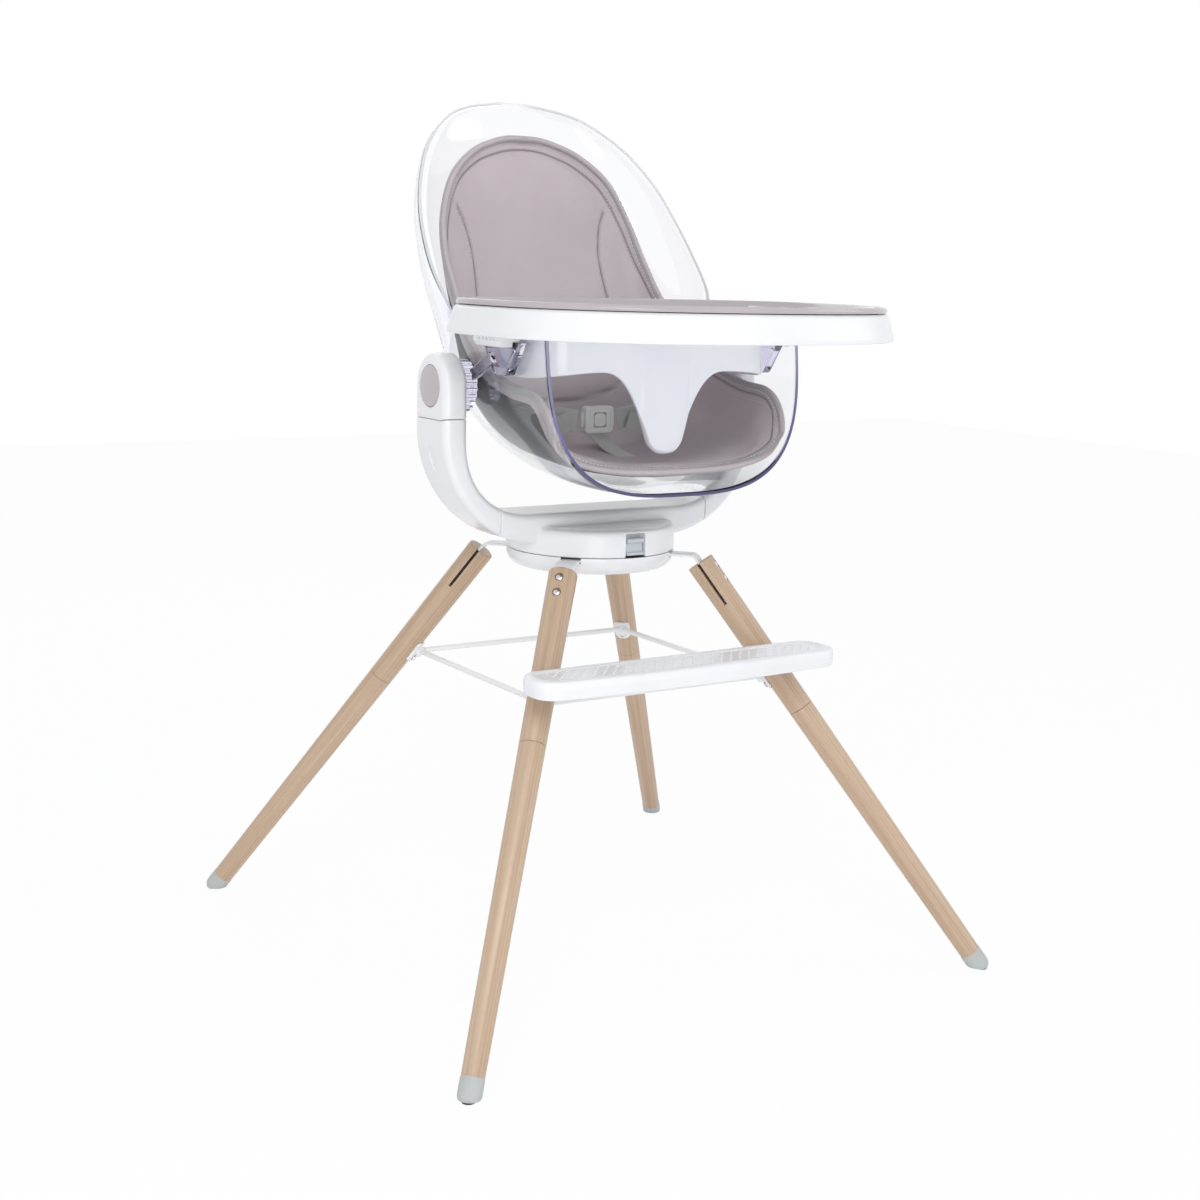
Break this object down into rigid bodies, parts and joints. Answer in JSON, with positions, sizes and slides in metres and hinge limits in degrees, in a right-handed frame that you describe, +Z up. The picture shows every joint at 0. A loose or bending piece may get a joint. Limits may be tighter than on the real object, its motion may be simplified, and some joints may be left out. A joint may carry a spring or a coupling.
{
  "type": "baby high chair",
  "caption": "Swivelling and reclining baby high chair with a clear bucket seat, padded liner, sliding tray, footrest and splayed wooden legs.",
  "frame": {"origin": "floor, at the centre of the bounding box, on the swivel axis", "axes": "+Z up, the child faces -Y, +X to the child's left"},
  "size_m": [0.744, 0.744, 1.039],
  "materials": {
    "beech": "satin lacquer",
    "white_plastic": "soft gloss",
    "white_steel": "powder coat",
    "grey_rubber": "matt",
    "zinc_steel": "zinc plated",
    "clear_plastic": "clear, polished",
    "mauve_leather": "soft matt, lightly grained",
    "mauve_plastic": "gloss",
    "latch_grey": "satin",
    "grey_webbing": "woven",
    "buckle_grey": "satin"
  },
  "bodies": {
    "base": {"leg_upper_front_left": "beech", "leg_upper_front_right": "beech", "leg_upper_rear_left": "beech", "leg_upper_rear_right": "beech", "leg_lower_front_left": "beech", "leg_lower_front_right": "beech", "leg_lower_rear_left": "beech", "leg_lower_rear_right": "beech", "foot_cap_front_left": "grey_rubber", "foot_cap_front_right": "grey_rubber", "foot_cap_rear_left": "grey_rubber", "foot_cap_rear_right": "grey_rubber", "leg_bracket_front_left": "white_steel", "leg_bracket_front_right": "white_steel", "leg_bracket_rear_left": "white_steel", "leg_bracket_rear_right": "white_steel", "leg_screw_top_front_left": "zinc_steel", "leg_screw_top_front_right": "zinc_steel", "leg_screw_top_rear_left": "zinc_steel", "leg_screw_top_rear_right": "zinc_steel", "leg_screw_low_front_left": "zinc_steel", "leg_screw_low_front_right": "zinc_steel", "leg_screw_low_rear_left": "zinc_steel", "leg_screw_low_rear_right": "zinc_steel", "stretcher_front_left": "white_steel", "stretcher_front_right": "white_steel", "stretcher_rear_left": "white_steel", "stretcher_rear_right": "white_steel", "saddle_screw_front_left": "zinc_steel", "saddle_screw_front_right": "zinc_steel", "saddle_screw_rear_left": "zinc_steel", "saddle_screw_rear_right": "zinc_steel", "footrest": "white_plastic", "hub_bowl": "white_plastic", "clamp_plate": "zinc_steel", "pivot_bolt": "zinc_steel"},
    "yoke": {"turret": "white_plastic", "yoke_arm_left": "white_plastic", "yoke_arm_right": "white_plastic", "arm_head_left": "white_plastic", "arm_head_right": "white_plastic"},
    "swivel_latch": {"swivel_latch": "latch_grey"},
    "recline_button_left": {"recline_button_left": "mauve_plastic"},
    "recline_button_right": {"recline_button_right": "mauve_plastic"},
    "seat": {"recline_hub_left": "clear_plastic", "recline_hub_right": "clear_plastic", "seat_shell": "clear_plastic", "seat_pad": "mauve_leather", "waist_strap_left": "grey_webbing", "waist_strap_right": "grey_webbing", "buckle_tongue_left": "buckle_grey", "buckle_tongue_right": "buckle_grey", "crotch_strap": "grey_webbing", "buckle_body": "buckle_grey"},
    "buckle_button": {"buckle_button": "buckle_grey"},
    "tray": {"tray_base": "white_plastic", "tray_apron": "white_plastic"},
    "tray_insert": {"tray_insert": "mauve_plastic"},
    "tray_latch_left": {"tray_latch_left": "white_plastic"},
    "tray_latch_right": {"tray_latch_right": "white_plastic"}
  },
  "joints": [
    {"name": "swivel", "type": "hinge", "parent": "base", "child": "yoke", "pos_m": [0, 0, 0.4975], "axis": [0, 0, 1], "continuous": true},
    {"name": "swivel_latch_lift", "type": "slide", "parent": "yoke", "child": "swivel_latch", "axis": [0, 0, 1], "range_m": [0, 0.005], "stiffness_N_per_m": 400},
    {"name": "recline_button_left_press", "type": "slide", "parent": "yoke", "child": "recline_button_left", "axis": [1, 0, 0], "range_m": [0, 0.004], "stiffness_N_per_m": 500},
    {"name": "recline_button_right_press", "type": "slide", "parent": "yoke", "child": "recline_button_right", "axis": [-1, 0, 0], "range_m": [0, 0.004], "stiffness_N_per_m": 500},
    {"name": "recline", "type": "hinge", "parent": "yoke", "child": "seat", "pos_m": [0, 0, 0.697], "axis": [-1, 0, 0], "range_deg": [0, 25]},
    {"name": "buckle_press", "type": "slide", "parent": "seat", "child": "buckle_button", "axis": [0, 1, 0], "range_m": [0, 0.002], "stiffness_N_per_m": 600},
    {"name": "tray_slide", "type": "slide", "parent": "seat", "child": "tray", "axis": [0, -1, 0], "range_m": [0, 0.05]},
    {"name": "tray_insert_lift", "type": "slide", "parent": "tray", "child": "tray_insert", "axis": [0, 0, 1], "range_m": [0, 0.06]},
    {"name": "tray_latch_left_pull", "type": "slide", "parent": "tray", "child": "tray_latch_left", "axis": [-1, 0, 0], "range_m": [0, 0.006], "stiffness_N_per_m": 400},
    {"name": "tray_latch_right_pull", "type": "slide", "parent": "tray", "child": "tray_latch_right", "axis": [1, 0, 0], "range_m": [0, 0.006], "stiffness_N_per_m": 400}
  ]
}
